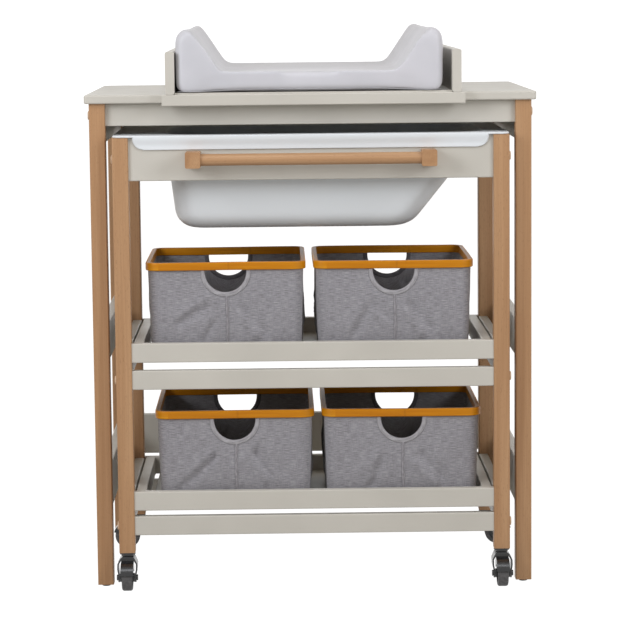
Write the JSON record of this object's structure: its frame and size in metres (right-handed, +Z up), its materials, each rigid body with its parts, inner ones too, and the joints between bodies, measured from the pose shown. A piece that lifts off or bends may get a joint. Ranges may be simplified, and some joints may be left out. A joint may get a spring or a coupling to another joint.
{
  "type": "changing table with bathtub",
  "caption": "Changing table on square legs with a lift-off tray and mat; a trolley parked below holds a bathtub, slatted shelves and fabric baskets.",
  "frame": {"origin": "on the floor, under the middle of the overall box", "axes": "+Z up; +Y to the rear, so the trolley rolls out along -Y; +X to the right of someone standing in front"},
  "size_m": [0.84, 0.755, 1.0436],
  "materials": {
    "painted_board": "satin",
    "beech": "satin",
    "bolt_caps": "matte",
    "glides": "matte",
    "mat_cover": "coated cloth",
    "caster_steel": "gloss",
    "caster_rubber": "matte",
    "tub_plastic": "satin",
    "plug_plastic": "matte",
    "basket_cloth": "melange",
    "bamboo": "lacquered"
  },
  "bodies": {
    "table_frame": {"table_apron_front": "painted_board", "table_apron_left": "painted_board", "table_apron_rear": "painted_board", "table_apron_right": "painted_board", "table_bolts": "bolt_caps", "table_glides": "glides", "table_leg_front_left": "beech", "table_leg_front_right": "beech", "table_leg_rear_left": "beech", "table_leg_rear_right": "beech", "table_low_rail_left": "painted_board", "table_low_rail_right": "painted_board", "table_middle_rail_left": "painted_board", "table_middle_rail_right": "painted_board", "table_rear_rail": "painted_board", "table_top": "painted_board"},
    "changing_tray": {"tray_base": "painted_board", "tray_lip": "painted_board", "tray_cleat": "painted_board", "tray_wall_left": "painted_board", "tray_wall_right": "painted_board"},
    "changing_mat": {"changing_mat": "mat_cover"},
    "trolley": {"caster_mounts": "caster_steel", "handle_bar": "beech", "handle_blocks": "beech", "lower_braces": "painted_board", "lower_shelf_frame": "painted_board", "lower_shelf_slats": "painted_board", "lower_side_rails": "painted_board", "trolley_bolts": "bolt_caps", "trolley_leg_front_left": "beech", "trolley_leg_front_right": "beech", "trolley_leg_rear_left": "beech", "trolley_leg_rear_right": "beech", "trolley_top_rail_front": "painted_board", "trolley_top_rail_rear": "painted_board", "trolley_top_side_rails": "painted_board", "upper_braces": "painted_board", "upper_shelf_frame": "painted_board", "upper_shelf_slats": "painted_board", "upper_side_rails": "painted_board"},
    "bathtub": {"bathtub": "tub_plastic"},
    "drain_plug": {"drain_plug": "plug_plastic"},
    "basket_upper_left": {"basket_fabric_upper_left": "basket_cloth", "basket_rim_upper_left": "bamboo"},
    "basket_upper_right": {"basket_fabric_upper_right": "basket_cloth", "basket_rim_upper_right": "bamboo"},
    "basket_lower_left": {"basket_fabric_lower_left": "basket_cloth", "basket_rim_lower_left": "bamboo"},
    "basket_lower_right": {"basket_fabric_lower_right": "basket_cloth", "basket_rim_lower_right": "bamboo"},
    "caster_front_left": {"caster_fork_front_left": "caster_steel"},
    "wheel_front_left": {"caster_wheel_front_left": "caster_rubber"},
    "caster_front_right": {"caster_fork_front_right": "caster_steel"},
    "wheel_front_right": {"caster_wheel_front_right": "caster_rubber"},
    "caster_rear_left": {"caster_fork_rear_left": "caster_steel"},
    "wheel_rear_left": {"caster_wheel_rear_left": "caster_rubber"},
    "caster_rear_right": {"caster_fork_rear_right": "caster_steel"},
    "wheel_rear_right": {"caster_wheel_rear_right": "caster_rubber"}
  },
  "joints": [
    {"name": "tray_lift", "type": "slide", "parent": "table_frame", "child": "changing_tray", "axis": [0, 0, 1], "range_m": [0, 0.12]},
    {"name": "mat_lift", "type": "slide", "parent": "changing_tray", "child": "changing_mat", "axis": [0, 0, 1], "range_m": [0, 0.12]},
    {"name": "trolley_roll", "type": "slide", "parent": "table_frame", "child": "trolley", "axis": [0, -1, 0], "range_m": [0, 0.3]},
    {"name": "bathtub_lift", "type": "slide", "parent": "trolley", "child": "bathtub", "axis": [0, 0, 1], "range_m": [0, 0.012]},
    {"name": "drain_plug_pull", "type": "slide", "parent": "bathtub", "child": "drain_plug", "axis": [0, 0, 1], "range_m": [0, 0.04]},
    {"name": "basket_lift_upper_left", "type": "slide", "parent": "trolley", "child": "basket_upper_left", "axis": [0, 0, 1], "range_m": [0, 0.038]},
    {"name": "basket_lift_upper_right", "type": "slide", "parent": "trolley", "child": "basket_upper_right", "axis": [0, 0, 1], "range_m": [0, 0.038]},
    {"name": "basket_lift_lower_left", "type": "slide", "parent": "trolley", "child": "basket_lower_left", "axis": [0, 0, 1], "range_m": [0, 0.038]},
    {"name": "basket_lift_lower_right", "type": "slide", "parent": "trolley", "child": "basket_lower_right", "axis": [0, 0, 1], "range_m": [0, 0.038]},
    {"name": "caster_swivel_front_left", "type": "hinge", "parent": "trolley", "child": "caster_front_left", "pos_m": [-0.3535, -0.3245, 0.06], "axis": [0, 0, 1], "range_deg": [-30, 180]},
    {"name": "wheel_spin_front_left", "type": "hinge", "parent": "caster_front_left", "child": "wheel_front_left", "pos_m": [-0.3535, -0.3465, 0.025], "axis": [1, 0, 0], "continuous": true},
    {"name": "caster_swivel_front_right", "type": "hinge", "parent": "trolley", "child": "caster_front_right", "pos_m": [0.3535, -0.3245, 0.06], "axis": [0, 0, 1], "range_deg": [-180, 30]},
    {"name": "wheel_spin_front_right", "type": "hinge", "parent": "caster_front_right", "child": "wheel_front_right", "pos_m": [0.3535, -0.3465, 0.025], "axis": [1, 0, 0], "continuous": true},
    {"name": "caster_swivel_rear_left", "type": "hinge", "parent": "trolley", "child": "caster_rear_left", "pos_m": [-0.3535, 0.0455, 0.06], "axis": [0, 0, 1], "continuous": true},
    {"name": "wheel_spin_rear_left", "type": "hinge", "parent": "caster_rear_left", "child": "wheel_rear_left", "pos_m": [-0.3755, 0.0455, 0.025], "axis": [0, 1, 0], "continuous": true},
    {"name": "caster_swivel_rear_right", "type": "hinge", "parent": "trolley", "child": "caster_rear_right", "pos_m": [0.3535, 0.0455, 0.06], "axis": [0, 0, 1], "continuous": true},
    {"name": "wheel_spin_rear_right", "type": "hinge", "parent": "caster_rear_right", "child": "wheel_rear_right", "pos_m": [0.3755, 0.0455, 0.025], "axis": [0, 1, 0], "continuous": true}
  ]
}
